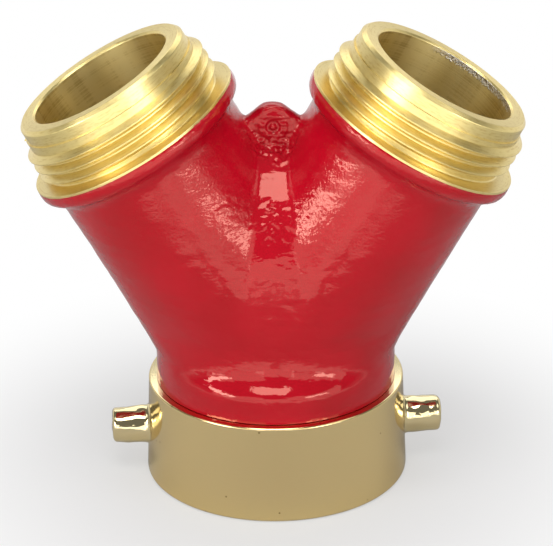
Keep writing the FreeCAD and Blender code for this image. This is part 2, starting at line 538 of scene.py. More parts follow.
@dataclass(frozen=True)
class LatheBrass(Finish):
    """Cast brass turned on a lathe: satin yellow, with fine rings that draw the light out along its axis."""

    ring_mm: float = 0.22
    smear_mm: float = 0.55
    smear_round: float = 80.0
    smear_long: float = 1.0
    worn_limits: tuple[float, float] = (0.65, 1.0)
    groove: float = 0.5
    groove_mm: float = 0.06
    anisotropic: float = 0.55
    roughness: float = 0.36

    def material(self, axis_place: Matrix, patch: RawPatch | None = None) -> bpy.types.Material:
        """Build the brass for one turned end.

        Args:
            axis_place: Place of the turning axis: its Z is the axis.
            patch: Raw casting that the tool missed.

        Returns:
            The material, whose tool rings run round that axis.
        """
        material, tree, shader = self.start()
        back = axis_place.inverted()
        coords = add_node(tree, "ShaderNodeTexCoord").outputs["Object"]
        place = add_node(
            tree,
            "ShaderNodeMapping",
            {"Vector": coords, "Location": back.to_translation(), "Rotation": back.to_euler()},
        ).outputs["Vector"]
        parts = add_node(tree, "ShaderNodeSeparateXYZ", {"Vector": place}).outputs
        across = add_node(tree, "ShaderNodeCombineXYZ", {"X": parts["X"], "Y": parts["Y"]})
        radius = add_node(
            tree, "ShaderNodeVectorMath", {0: across.outputs["Vector"]}, operation="LENGTH"
        ).outputs["Value"]
        turn = add_node(
            tree, "ShaderNodeMath", {0: parts["Y"], 1: parts["X"]}, operation="ARCTAN2"
        ).outputs["Value"]
        lathe = add_node(tree, "ShaderNodeCombineXYZ", {"X": radius, "Y": parts["Z"]})
        # Tool marks are 0.1 to 0.2 mm apart, drawn a little coarser so that they show
        rings = add_node(
            tree,
            "ShaderNodeTexNoise",
            {"Vector": lathe.outputs["Vector"], "Scale": per_metre(self.ring_mm), "Detail": 3.0},
        ).outputs["Fac"]
        around, along = [
            add_node(tree, "ShaderNodeMath", {0: value, 1: factor}, operation="MULTIPLY").outputs["Value"]
            for value, factor in (
                (turn, self.smear_mm * MM * self.smear_round / (2 * math.pi)),
                (parts["Z"], 1 / self.smear_long),
            )
        ]
        drawn_out = add_node(tree, "ShaderNodeCombineXYZ", {"X": radius, "Y": along, "Z": around})
        smear = add_node(
            tree,
            "ShaderNodeTexNoise",
            {"Vector": drawn_out.outputs["Vector"], "Scale": per_metre(self.smear_mm), "Detail": 3.0},
        )
        worn = add_node(tree, "ShaderNodeMath", {0: rings, 1: smear.outputs["Fac"]}, operation="ADD")
        self.mottled(tree, shader, worn.outputs["Value"], self.worn_limits)
        tool = add_node(
            tree,
            "ShaderNodeBump",
            {"Height": rings, "Strength": self.groove, "Distance": self.groove_mm * MM},
        )
        if patch:
            patch.leave(tree, shader, place, turn, parts["Z"], tool)
        offset = add_node(
            tree, "ShaderNodeVectorMath", {0: coords, 1: axis_place.to_translation()}, operation="SUBTRACT"
        )
        sweep = add_node(
            tree,
            "ShaderNodeVectorMath",
            {0: axis_place.to_3x3() @ Vector((0, 0, 1)), 1: offset.outputs["Vector"]},
            operation="CROSS_PRODUCT",
        )
        tree.links.new(sweep.outputs["Vector"], shader.inputs["Tangent"])
        tree.links.new(tool.outputs["Normal"], shader.inputs["Normal"])
        shader.inputs["Anisotropic"].default_value = self.anisotropic
        # A quarter turn, so that the light is drawn out across the tool rings
        shader.inputs["Anisotropic Rotation"].default_value = 0.25
        shader.inputs["Roughness"].default_value = self.roughness
        shader.inputs["Metallic"].default_value = 1.0
        return material


@dataclass(frozen=True)
class BuffedBrass(Finish):
    """Cast brass buffed on a wheel: a mirror that fine marks haze, with a few pits left from the mould,
    painted dark for the shade inside them.
    """

    haze_mm: float = 3.0
    haze_limits: tuple[float, float] = (0.3, 0.7)
    haze_share: float = 0.07
    buff_mm: float = 0.35
    buff_strength: float = 0.03
    buff_relief_mm: float = 0.05
    pit_spacing_mm: float = 4.5
    pit_mm: float = 0.32
    roughness: float = 0.2

    def material(self) -> bpy.types.Material:
        """Build the brass: hazed mirror, faint buffing marks and sparse pits, whose shade is painted dark.

        Returns:
            The material.
        """
        material, tree, shader = self.start()
        place = add_node(tree, "ShaderNodeTexCoord").outputs["Object"]
        haze = add_node(
            tree, "ShaderNodeTexNoise", {"Vector": place, "Scale": per_metre(self.haze_mm), "Detail": 4.0}
        )
        gloss = add_node(
            tree,
            "ShaderNodeMapRange",
            {
                "Value": haze.outputs["Fac"],
                "From Min": self.haze_limits[0],
                "From Max": self.haze_limits[1],
                "To Min": self.roughness * (1 - self.haze_share),
                "To Max": self.roughness * (1 + self.haze_share),
            },
        )
        buff = add_node(
            tree, "ShaderNodeTexNoise", {"Vector": place, "Scale": per_metre(self.buff_mm), "Detail": 2.0}
        )
        marks = add_node(
            tree,
            "ShaderNodeBump",
            {
                "Height": buff.outputs["Fac"],
                "Strength": self.buff_strength,
                "Distance": self.buff_relief_mm * MM,
            },
        )
        # The pits have no depth: small dark spots paint the shade inside them
        spacing = per_metre(self.pit_spacing_mm)
        cells = add_node(tree, "ShaderNodeTexVoronoi", {"Vector": place, "Scale": spacing})
        pit_shade = add_node(
            tree,
            "ShaderNodeMapRange",
            {
                "Value": cells.outputs["Distance"],
                "From Min": 0.5 * self.pit_mm / self.pit_spacing_mm,
                "From Max": self.pit_mm / self.pit_spacing_mm,
            },
        )
        self.mottled(tree, shader, pit_shade.outputs["Result"], (0.0, 1.0))
        tree.links.new(gloss.outputs["Result"], shader.inputs["Roughness"])
        tree.links.new(marks.outputs["Normal"], shader.inputs["Normal"])
        shader.inputs["Metallic"].default_value = 1.0
        return material


@dataclass(frozen=True)
class PlainFinish(Finish):
    """A hidden or dark piece: one colour that a fine mottle breaks up."""

    metallic: float
    roughness: float
    mottle_mm: float
    mottle_limits: tuple[float, float] = (0.35, 0.65)
    relief: float = 0.15
    relief_mm: float = 0.1

    def material(self) -> bpy.types.Material:
        """Build the finish from its two shades.

        Returns:
            The material.
        """
        material, tree, shader = self.start()
        place = add_node(tree, "ShaderNodeTexCoord").outputs["Object"]
        mottle = add_node(
            tree, "ShaderNodeTexNoise", {"Vector": place, "Scale": per_metre(self.mottle_mm), "Detail": 4.0}
        ).outputs["Fac"]
        self.mottled(tree, shader, mottle, self.mottle_limits)
        skin = add_node(
            tree,
            "ShaderNodeBump",
            {"Height": mottle, "Strength": self.relief, "Distance": self.relief_mm * MM},
        )
        tree.links.new(skin.outputs["Normal"], shader.inputs["Normal"])
        shader.inputs["Metallic"].default_value = self.metallic
        shader.inputs["Roughness"].default_value = self.roughness
        return material


@dataclass(frozen=True)
class Fork:
    """Where the branches stand, in millimetres and degrees, shared by casting and outlets."""

    branch_angle: float = 30.0
    crossing_z: float = 32.3
    outlet_reach: float = 84.0
    nipple_len: float = 15.4
    bore_r: float = 18.6

    @property
    def shoulder_reach(self) -> float:
        """Distance of the flat shoulder from the point where the branch axes cross."""
        return self.outlet_reach - self.nipple_len

    def placement(self, side: Side) -> Matrix:
        """Place a shape built along Z on a branch axis.

        Args:
            side: Left or right branch.

        Returns:
            The matrix that turns and lifts it there.
        """
        tilt = Matrix.Rotation(math.radians(self.branch_angle) * side.value, 4, "Y")
        return Matrix.Translation((0, 0, self.crossing_z * MM)) @ tilt


@dataclass(frozen=True)
class HoseThread:
    """Form of the hose thread, in millimetres and degrees, shared by outlets and inlet."""

    pitch: float = 2.822
    depth: float = 1.85
    flank_angle: float = 30.0
    sunk: float = 0.15

    @property
    def flank_run(self) -> float:
        """Length of one flank along the axis."""
        return self.depth * math.tan(math.radians(self.flank_angle))

    @property
    def crest_half(self) -> float:
        """Half the width of the crest's flat."""
        return (self.pitch - 2 * self.flank_run) / 4

    @property
    def base_half(self) -> float:
        """Half the width of the ridge at its foot."""
        return self.crest_half + self.flank_run


@dataclass(frozen=True)
class CastSkin:
    """Relief of the sand-cast skin under its paint, in millimetres."""

    swell: float = 0.12
    swell_size: float = 11.0
    ripple: float = 0.08
    ripple_size: tuple[float, float, float] = (5.0, 5.0, 2.0)
    grit_size: float = 1.3
    # Place, reach and height of each gritty spot, on the front and mirrored to the back
    grit_spots: tuple[tuple[float, float, float, float, float], ...] = (
        (-2.4, -4.8, 88.2, 2.8, 0.9),
        (2.8, -4.8, 88.2, 2.8, 0.9),
        (1.6, -8.4, 85.6, 2.0, 0.5),
        (0.0, -17.5, 77.0, 3.0, 0.4),
        (0.6, -21.0, 73.5, 4.0, 0.32),
        (-12.0, -20.0, 75.0, 8.5, 0.1),
        (11.5, -20.0, 76.0, 7.5, 0.1),
    )
    boss_z: float = 92.6
    boss_r: float = 5.5
    boss_facing: float = -0.5
    dot: float = 0.5
    dot_r: tuple[float, float] = (0.3, 0.95)
    # Relief of recess, pad and groove round the dot, with the radii between which each rises and falls
    mark_rings: tuple[tuple[float, float, float, float, float], ...] = (
        (-0.35, 0.6, 1.0, 1.4, 2.0),
        (0.1, 1.6, 2.2, 3.0, 3.8),
        (-0.08, 3.2, 3.9, 4.1, 4.9),
    )
    mark_lumps: tuple[float, float, float, float, float] = (0.3, 1.2, 2.4, 4.8, 5.8)
    lump_size: tuple[float, float, float] = (2.6, 1.6, 1.0)
    even_z: tuple[float, float] = (28.0, 32.0)

    def boss_mark(self, point: Vector) -> float:
        """Give the relief of the ringed mark on the boss.

        Args:
            point: Point on the boss's front, in millimetres.

        Returns:
            Height of the relief there.
        """
        off = math.hypot(point.x, point.z - self.boss_z)
        total = self.dot * (1 - ease(*self.dot_r, off))
        for relief, begins, full, ends, gone in self.mark_rings:
            total += relief * ease(begins, full, off) * (1 - ease(ends, gone, off))
        relief, begins, full, ends, gone = self.mark_lumps
        wrinkle = noise.noise(Vector([p / s for p, s in zip(point, self.lump_size)]))
        return total + relief * wrinkle * ease(begins, full, off) * (1 - ease(ends, gone, off))

    def height(self, point: Vector, normal: Vector) -> float:
        """Give the height of the skin's lumps at a point.

        Args:
            point: Point in millimetres.
            normal: Direction that the surface faces.

        Returns:
            Height in millimetres.
        """
        total = self.swell * noise.noise(point / self.swell_size)
        stretched = Vector([p / s for p, s in zip(point, self.ripple_size)])
        total += self.ripple * noise.noise(stretched)
        front = Vector((point.x, -abs(point.y), point.z))
        for x, y, z, reach, grit in self.grit_spots:
            share = math.exp(-((front - Vector((x, y, z))).length / reach) ** 2)
            total += share * grit * noise.noise(point / self.grit_size)
        high_enough = point.z > self.boss_z - self.boss_r
        if normal.y < self.boss_facing and high_enough and abs(point.x) < self.boss_r:
            total += self.boss_mark(point)
        return total * ease(self.even_z[0], self.even_z[1], point.z)


@dataclass
class WyeCasting:
    """The red body: the CAD casting's outer form with a sand-cast skin, and its waterway cut through it."""

    fork: Fork
    skin: CastSkin
    skin_voxel: float = 0.78
    smooth_rounds: int = 5
    flange_rounds: int = 1
    flange_z: float = 32.0
    rim_rounds: int = 12
    rim_z: tuple[float, float] = (30.6, 35.6)
    foot_rounds: int = 24
    collar_foot: tuple[float, float] = (59.4, 64.9)
    collar_foot_r: float = 27.0
    flange_r: float = 30.08
    flange_draft: float = 0.2
    flange_foot: tuple[float, float] = (25.42, 28.6)
    flange_inner_r: float = 24.0
    flange_round: float = 0.12
    facing_depth: float = 0.15
    inlet_bore_r: float = 19.05
    chamber_r: float = 22.0
    tail_end_z: float = 15.6
    bore_margin: float = 0.5
    bore_overrun: float = 1.0
    bore_steps: int = 128
    crotch_half_width: float = 15.0
    crotch_z: float = 69.0
    boss_half_width: float = 7.0
    boss_low_z: float = 84.5
    sharp_angle: float = 50.0

    def in_waterway(self, point: Vector) -> bool:
        """Tell whether a point lies on or inside the waterway's walls.

        Args:
            point: Point in metres.

        Returns:
            True for a point of the two bores, the inlet or the chamber.
        """
        crossing = Vector((0, 0, self.fork.crossing_z * MM))
        if (point - crossing).length < (self.chamber_r + self.bore_margin) * MM:
            return True
        if point.z < crossing.z and point.xy.length < (self.inlet_bore_r + self.bore_margin / 2) * MM:
            return True
        for side in Side:
            local = self.fork.placement(side).inverted() @ point
            if local.z > 0 and local.xy.length < (self.fork.bore_r + self.bore_margin) * MM:
                return True
        return False

    def under_collar(self, point: Vector) -> bool:
        """Tell whether a point lies in the hollow where a branch runs into its collar.

        Args:
            point: Point in metres.

        Returns:
            True for a point of either hollow.
        """
        low, high = self.collar_foot
        for side in Side:
            local = self.fork.placement(side).inverted() @ point
            if low * MM < local.z < high * MM and local.xy.length < self.collar_foot_r * MM:
                return True
        return False

    def flange_edge(self, enamel: bpy.types.Material) -> bpy.types.Object:
        """Turn the neck flange's crisp lower edge, which runs out into its wall.

        Args:
            enamel: Paint of the outside.

        Returns:
            The closed ring, to be welded on.
        """
        low, high = self.flange_foot
        bm = turned_solid(
            [
                (self.flange_inner_r, low, 0),
                (self.flange_r, low, self.flange_round),
                (self.flange_r - self.flange_draft, high, 0),
                (self.flange_inner_r, high, 0),
            ],
            self.bore_steps * 2,
        )
        return new_object("flange_edge", bm, enamel)

    def face_outlets(self, bm: bmesh.types.BMesh, depth: float) -> None:
        """Cut both branches off square at the shoulder and close the cuts.

        Args:
            bm: Mesh of the casting.
            depth: How far below the shoulder the cut lies, in millimetres.
        """
        for side in Side:
            place = self.fork.placement(side)
            cut = place @ Vector((0, 0, (self.fork.shoulder_reach - depth) * MM))
            axis = place.to_3x3() @ Vector((0, 0, 1))
            geom = bm.verts[:] + bm.edges[:] + bm.faces[:]
            bmesh.ops.bisect_plane(bm, geom=geom, plane_co=cut, plane_no=axis, clear_outer=True)
        open_edges = [e for e in bm.edges if e.is_boundary]
        bmesh.ops.holes_fill(bm, edges=open_edges, sides=0)

    def outer_form(self) -> bpy.types.Object:
        """Copy the CAD body, drop its waterway and outlets, and give it an even skin.

        Returns:
            The closed outer form.
        """
        bm = bmesh.new()
        bm.from_mesh(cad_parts["wye_body"].data)
        bmesh.ops.remove_doubles(bm, verts=bm.verts, dist=CAD_WELD_MM * MM)
        inner = [f for f in bm.faces if self.in_waterway(f.calc_center_median())]
        bmesh.ops.delete(bm, geom=inner, context="FACES")
        self.face_outlets(bm, 0.0)
        bmesh.ops.recalc_face_normals(bm, faces=bm.faces)
        form = new_object("wye_casting", bm)
        remesh = form.modifiers.new("skin", "REMESH")
        remesh.mode = "VOXEL"
        remesh.voxel_size = self.skin_voxel * MM
        apply_modifiers(form)
        return form

    def refine(self, bm: bmesh.types.BMesh, half_width: float, low_z: float) -> None:
        """Halve the faces of the crotch above a height, and ease them.

        Args:
            bm: Mesh of the casting.
            half_width: Reach to either side of the middle, in millimetres.
            low_z: Height where the finer part starts, in millimetres.
        """
        inside = {v for v in bm.verts if abs(v.co.x) < half_width * MM and v.co.z > low_z * MM}
        edges = [e for e in bm.edges if e.verts[0] in inside and e.verts[1] in inside]
        bmesh.ops.subdivide_edges(bm, edges=edges, cuts=1, use_grid_fill=True)
        finer = [v for v in bm.verts if abs(v.co.x) < half_width * MM and v.co.z > low_z * MM]
        soften(bm, finer, 1)

    def roughen(self, form: bpy.types.Object) -> None:
        """Smooth the skin as poured metal and paint do, then raise its lumps.

        Args:
            form: Outer form, changed in place.
        """
        bm = bmesh.new()
        bm.from_mesh(form.data)
        upper = [v for v in bm.verts if v.co.z > self.flange_z * MM]
        soften(bm, bm.verts[:], self.flange_rounds)
        soften(bm, upper, self.smooth_rounds - self.flange_rounds)
        rim = [v for v in bm.verts if self.rim_z[0] * MM < v.co.z < self.rim_z[1] * MM]
        foot = [v for v in bm.verts if self.under_collar(v.co)]
        soften(bm, rim, self.rim_rounds)
        soften(bm, foot, self.foot_rounds)
        self.refine(bm, self.crotch_half_width, self.crotch_z)
        self.refine(bm, self.boss_half_width, self.boss_low_z)
        bm.normal_update()
        moves = [v.normal * self.skin.height(v.co / MM, v.normal) * MM for v in bm.verts]
        for vert, move in zip(bm.verts, moves):
            vert.co += move
        self.face_outlets(bm, self.facing_depth)
        bm.to_mesh(form.data)
        bm.free()

    def waterway(self, bores: dict[Side, bpy.types.Material], cast: bpy.types.Material) -> bpy.types.Object:
        """Build the space that the water runs through.

        Args:
            bores: Metal of each branch bore.
            cast: Metal of the inlet and the chamber.

        Returns:
            The closed cutter, welded from the inlet, the chamber and two bores.
        """
        low = self.tail_end_z - self.bore_overrun
        top = self.fork.crossing_z
        reach = self.fork.outlet_reach
        bore_r = self.fork.bore_r
        bm = turned_solid(
            [(0, low, 0), (self.inlet_bore_r, low, 0), (self.inlet_bore_r, top, 0), (0, top, 0)],
            self.bore_steps,
        )
        whole = new_object("waterway", bm, cast)
        bm = bmesh.new()
        bmesh.ops.create_uvsphere(
            bm,
            u_segments=self.bore_steps,
            v_segments=self.bore_steps // 2,
            radius=self.chamber_r * MM,
            matrix=Matrix.Translation((0, 0, top * MM)),
        )
        combine(whole, new_object("chamber", bm, cast), Join.WELD)
        for side in Side:
            outline = [(0, 0, 0), (bore_r, 0, 0), (bore_r, reach, 0), (0, reach, 0)]
            bm = turned_solid(outline, self.bore_steps)
            bmesh.ops.transform(bm, matrix=self.fork.placement(side), verts=bm.verts)
            combine(whole, new_object(f"bore_{side.name.lower()}", bm, bores[side]), Join.WELD)
        return whole

    def build(
        self, enamel: bpy.types.Material, bores: dict[Side, bpy.types.Material], cast: bpy.types.Material
    ) -> bpy.types.Object:
        """Build the casting.

        Args:
            enamel: Paint of the outside.
            bores: Metal of each branch bore.
            cast: Metal of the inlet and the chamber.

        Returns:
            The finished piece.
        """
        form = self.outer_form()
        self.roughen(form)
        form.data.materials.append(enamel)
        combine(form, self.flange_edge(enamel), Join.WELD)
        combine(form, self.waterway(bores, cast), Join.CUT)
        crisp(form, self.sharp_angle)
        return settle(form, Body.CASTING, "red_enamel", "wye_body")


@dataclass
class Outlet:
    """A turned outlet: lip, pilot, right-handed hose thread, relief and flat shoulder."""

    fork: Fork
    thread: HoseThread
    side: Side
    major_r: float = 25.27
    crest_round: float = 0.12
    crest_ease: tuple[float, float] = (0.07, 0.05)
    end_slope: float = 1.2
    start_turn: float = 79.0
    start_spread: float = 21.0
    pilot_len: float = 4.0
    relief_len: float = 1.1
    relief_round: float = 0.5
    pilot_r: float = 23.05
    lip_chamfer: float = 0.9
    lip_round: float = 0.15
    bore_chamfer: float = 0.5
    bore_round: float = 0.1
    shoulder_r: float = 27.74
    shoulder_round: float = 0.12
    shoulder_thick: float = 0.6
    seat_depth: float = 2.0
    bore_margin: float = 0.05
    sharp_angle: float = 20.0
    steps: int = 192

    @property
    def root_r(self) -> float:
        """Radius at the bottom of the thread."""
        return self.major_r - self.thread.depth

    def blank(self) -> bmesh.types.BMesh:
        """Turn the outlet without its thread.

        Returns:
            The closed blank, with its bore's faces as the second material.
        """
        lip = self.fork.outlet_reach
        shoulder = self.fork.shoulder_reach
        bore_r = self.fork.bore_r
        bm = turned_solid(
            [
                (bore_r, shoulder - self.seat_depth, 0),
                (bore_r, lip - self.bore_chamfer, self.bore_round),
                (bore_r + self.bore_chamfer, lip, self.bore_round),
                (self.pilot_r - self.lip_chamfer, lip, self.lip_round),
                (self.pilot_r, lip - self.lip_chamfer, self.lip_round),
                (self.pilot_r, lip - self.pilot_len, 0),
                (self.root_r, lip - self.pilot_len, 0),
                (self.root_r, shoulder, self.relief_round),
                (self.shoulder_r, shoulder, self.shoulder_round),
                (self.shoulder_r, shoulder - self.shoulder_thick, 0),
                (self.root_r, shoulder - self.seat_depth, 0),
            ],
            self.steps,
        )
        for face in bm.faces:
            if face.calc_center_median().xy.length < (bore_r + self.bore_margin) * MM:
                face.material_index = 1
        return bm

    def ridge(self) -> bmesh.types.BMesh:
        """Sweep the thread and cut its lead and its run-out as the lathe does.

        Returns:
            The closed ridge, sunk a little into the blank.
        """
        crest_half = self.thread.crest_half
        base_half = self.thread.base_half
        low = self.fork.shoulder_reach + self.relief_len
        high = self.fork.outlet_reach - self.pilot_len
        turns = (high - base_half - low) / self.thread.pitch
        floor_r = self.root_r - self.thread.sunk
        down, flat = self.crest_ease
        section = [
            (floor_r, low - base_half),
            (self.root_r, low - base_half),
            (self.major_r - self.crest_round, low - crest_half - down),
            (self.major_r, low - crest_half + flat),
            (self.major_r, low + crest_half - flat),
            (self.major_r - self.crest_round, low + crest_half + down),
            (self.root_r, low + base_half),
            (floor_r, low + base_half),
        ]
        bm = helix_ridge(section, self.thread.pitch, turns, self.steps)
        for vert in bm.verts:
            height = vert.co.z / MM
            lead_r = self.root_r + (high - height) * self.end_slope
            end_r = self.root_r + (height - low + base_half) * self.end_slope
            limit = max(min(lead_r, end_r), floor_r)
            radius = vert.co.xy.length / MM
            if radius > limit:
                vert.co.xy *= limit / radius
        return bm

    def build(self, brass: bpy.types.Material, bore: bpy.types.Material) -> bpy.types.Object:
        """Build the outlet.

        Args:
            brass: Metal of the turned outside.
            bore: Metal of the bore.

        Returns:
            The finished piece.
        """
        ridge = self.ridge()
        start = math.radians(self.start_turn - self.start_spread * self.side.value)
        bmesh.ops.rotate(ridge, verts=ridge.verts, matrix=Matrix.Rotation(start, 3, "Z"))
        bm = joined([self.blank(), ridge])
        bmesh.ops.transform(bm, matrix=self.fork.placement(self.side), verts=bm.verts)
        outlet = new_object(f"outlet_{self.side.name.lower()}", bm, brass, bore)
        crisp(outlet, self.sharp_angle)
        return settle(outlet, Body.CASTING, "turned_brass", "wye_body")


@dataclass
class SwivelRing:
    """The swivel: a buffed ring with two lugs, a female thread below and the tail's seat above."""

    thread: HoseThread
    ring_r: float = 33.0
    top_draft: float = 0.9
    height: float = 25.3
    top_round: float = 0.45
    foot_round: float = 0.8
    tail_bore_r: float = 26.6
    tail_bore_round: float = 0.3
    thread_len: float = 11.0
    thread_minor_r: float = 23.82
    thread_lead: float = 0.3
    mouth_chamfer: float = 1.2
    mouth_round: float = 0.2
    root_round: float = 0.1
    lug_root_r: float = 4.75
    lug_end_r: float = 4.45
    lug_len: float = 8.7
    lug_end_round: float = 1.0
    lug_flare: float = 1.5
    lug_sunk: float = 3.0
    lug_z: float = 11.9
    lug_steps: int = 96
    lug_long_edge: float = 1.5
    lug_cuts: int = 18
    lug_wave: float = 0.32
    lug_wave_size: float = 4.6
    lug_calm: float = 2.0
    lug_seed: float = 40.0
    fine_wave: tuple[float, float] = (0.5, 2.1)
    rest_turn: float = 3.7
    plug_r: float = 2.65
    plug_z: float = 20.6
    plug_out: float = 1.35
    plug_steps: int = 64
    top_depth: float = 0.5
    top_facing: float = 0.9
    sharp_angle: float = 35.0
    steps: int = 256

    @property
    def root_r(self) -> float:
        """Radius at the bottom of the female thread."""
        return self.thread_minor_r + self.thread.depth

    def ring(self) -> bmesh.types.BMesh:
        """Turn the ring with its bore at the bottom of the female thread.

        Returns:
            The closed ring.
        """
        return turned_solid(
            [
                (self.root_r + self.mouth_chamfer, 0, self.mouth_round),
                (self.ring_r, 0, self.foot_round),
                (self.ring_r - self.top_draft, self.height, self.top_round),
                (self.tail_bore_r, self.height, self.tail_bore_round),
                (self.tail_bore_r, self.thread_len, 0),
                (self.root_r, self.thread_len, 0),
                (self.root_r, self.mouth_chamfer, self.root_round),
            ],
            self.steps,
        )

    def female_thread(self) -> bmesh.types.BMesh:
        """Sweep the ridge of the female thread, which the mouth's chamfer trims.

        Returns:
            The closed ridge, sunk a little into the ring.
        """
        crest_half = self.thread.crest_half
        base_half = self.thread.base_half
        low = self.mouth_chamfer + self.thread_lead
        high = self.thread_len - base_half
        floor_r = self.root_r + self.thread.sunk
        section = [
            (floor_r, low - base_half),
            (self.thread_minor_r, low - crest_half),
            (self.thread_minor_r, low + crest_half),
            (floor_r, low + base_half),
        ]
        turns = (high - low) / self.thread.pitch
        bm = helix_ridge(section, self.thread.pitch, turns, self.steps // 2)
        for vert in bm.verts:
            mouth_r = self.root_r + (self.mouth_chamfer - vert.co.z / MM)
            radius = vert.co.xy.length / MM
            limit = min(mouth_r, floor_r)
            if radius < limit:
                vert.co.xy *= limit / radius
        return bm

    def lug(self, side: Side, brass: bpy.types.Material) -> bpy.types.Object:
        """Turn one lug, flared where it meets the ring, with the ripples of hand polishing.

        Args:
            side: Left or right lug.
            brass: Its metal.

        Returns:
            The closed lug, in place for an unturned ring.
        """
        tip = self.ring_r + self.lug_len
        foot = self.tail_bore_r + self.lug_sunk
        flare_r = self.lug_root_r + self.lug_flare
        ring_r = self.ring_r - self.top_draft * self.lug_z / self.height
        wall = math.sqrt(ring_r ** 2 - flare_r ** 2)
        bm = turned_solid(
            [
                (0, foot, 0),
                (flare_r, foot, 0),
                (flare_r, wall, 0),
                (self.lug_root_r, wall, self.lug_flare),
                (self.lug_end_r, tip, self.lug_end_round),
                (0, tip, 0),
            ],
            self.lug_steps,
        )
        long_edges = [
            edge
            for edge in bm.edges
            if edge.calc_length() > self.lug_long_edge * MM and edge.verts[0].co.z != edge.verts[1].co.z
        ]
        bmesh.ops.subdivide_edges(bm, edges=long_edges, cuts=self.lug_cuts, use_grid_fill=True)
        bm.normal_update()
        shift = Vector((0, 0, side.value * self.lug_seed))
        share, finer = self.fine_wave
        moves = []
        for vert in bm.verts:
            point = vert.co / (self.lug_wave_size * MM) + shift
            wave = noise.noise(point) + share * noise.noise(point * finer)
            free = ease(wall * MM, (wall + self.lug_calm) * MM, vert.co.z)
            moves.append(vert.normal * self.lug_wave * MM * wave * free)
        for vert, move in zip(bm.verts, moves):
            vert.co += move
        lay = Matrix.Translation((0, 0, self.lug_z * MM)) @ Matrix.Rotation(math.pi / 2 * side.value, 4, "Y")
        bmesh.ops.transform(bm, matrix=lay, verts=bm.verts)
        return new_object(f"lug_{side.name.lower()}", bm, brass)

    def plug_hole(self) -> bpy.types.Object:
        """Build the cutter for the hole that the balls are loaded through.

        Returns:
            The closed cutter, at the ring's back.
        """
        bm = bmesh.new()
        lay = Matrix.Translation((0, self.plug_out * self.ring_r * MM, self.plug_z * MM))
        bmesh.ops.create_cone(
            bm,
            cap_ends=True,
            segments=self.plug_steps,
            radius1=self.plug_r * MM,
            radius2=self.plug_r * MM,
            depth=self.ring_r * MM,
            matrix=lay @ Matrix.Rotation(math.pi / 2, 4, "X"),
        )
        return new_object("plug_hole", bm)

    def build(self, ring_brass: bpy.types.Material, lug_brass: bpy.types.Material) -> bpy.types.Object:
        """Build the swivel, with its top edge polished as the lugs are.

        Args:
            ring_brass: Metal of the ring.
            lug_brass: Metal of the lugs.

        Returns:
            The finished piece.
        """
        ring = new_object("swivel", self.ring(), ring_brass)
        for side in Side:
            combine(ring, self.lug(side, lug_brass), Join.WELD)
        combine(ring, self.plug_hole(), Join.CUT)
        body = bmesh.new()
        body.from_mesh(ring.data)
        bm = joined([body, self.female_thread()])
        bmesh.ops.rotate(bm, verts=bm.verts, matrix=Matrix.Rotation(math.radians(self.rest_turn), 3, "Z"))
        bm.to_mesh(ring.data)
        bm.free()
        crisp(ring, self.sharp_angle)
        for face in ring.data.polygons:
            if face.normal.z > self.top_facing and face.center.z > (self.height - self.top_depth) * MM:
                face.material_index = 1
        return settle(ring, Body.SWIVEL, "polished_brass", "swivel_ring")


@dataclass
class InnerPieces:
    """Balls, plug and gasket: CAD pieces that keep their shape and get a finish."""

    plug_z: float

    @property
    def plug_axis(self) -> Matrix:
        """Place of the plug's turning axis, which runs from front to back."""
        return Matrix.Translation((0, 0, self.plug_z * MM)) @ Matrix.Rotation(math.pi / 2, 4, "X")

    def dress(self, node: str, material: bpy.types.Material) -> None:
        """Give a CAD node its material.

        Args:
            node: Name of the node.
            material: Its finish.
        """
        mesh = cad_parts[node].data
        mesh.materials.clear()
        mesh.materials.append(material)
        log.info("%s keeps its CAD shape", node)


@dataclass
class PhotoCamera:
    """A camera at the photograph's viewpoint, found from the circles of ring, lips and shoulders."""

    focal_px: float = 3000.0
    distance: float = 747.8
    elevation: float = 24.2
    azimuth: float = 0.366
    roll: float = 0.657
    target: tuple[float, float, float] = (0.445, 0.0, 52.55)
    sensor_width: float = 36.0
    clip_start: float = 10.0

    def build(self) -> None:
        """Place the camera and make it the scene's."""
        data = bpy.data.cameras.new("photo_camera")
        data.sensor_width = self.sensor_width
        data.lens = self.focal_px * self.sensor_width / PHOTO_WIDTH_PX
        data.clip_start = self.clip_start * MM
        camera = bpy.data.objects.new("photo_camera", data)
        turn = Matrix.Rotation(math.radians(self.azimuth), 4, "Z")
        tilt = Matrix.Rotation(math.radians(90 - self.elevation), 4, "X")
        roll = Matrix.Rotation(math.radians(-self.roll), 4, "Z")
        back = Matrix.Translation((0, 0, self.distance * MM))
        camera.matrix_world = Matrix.Translation(Vector(self.target) * MM) @ turn @ tilt @ back @ roll
        bpy.context.scene.collection.objects.link(camera)
        bpy.context.scene.camera = camera


@dataclass(frozen=True)
class SoftBox:
    """A lamp that faces the object: degrees round from the front and up, metres, brightness of its face."""

    name: str
    azimuth: float
    elevation: float
    distance: float
    size: tuple[float, float]
    radiance: float
    roll: float = 0.0
    shape: PanelShape = PanelShape.OBLONG


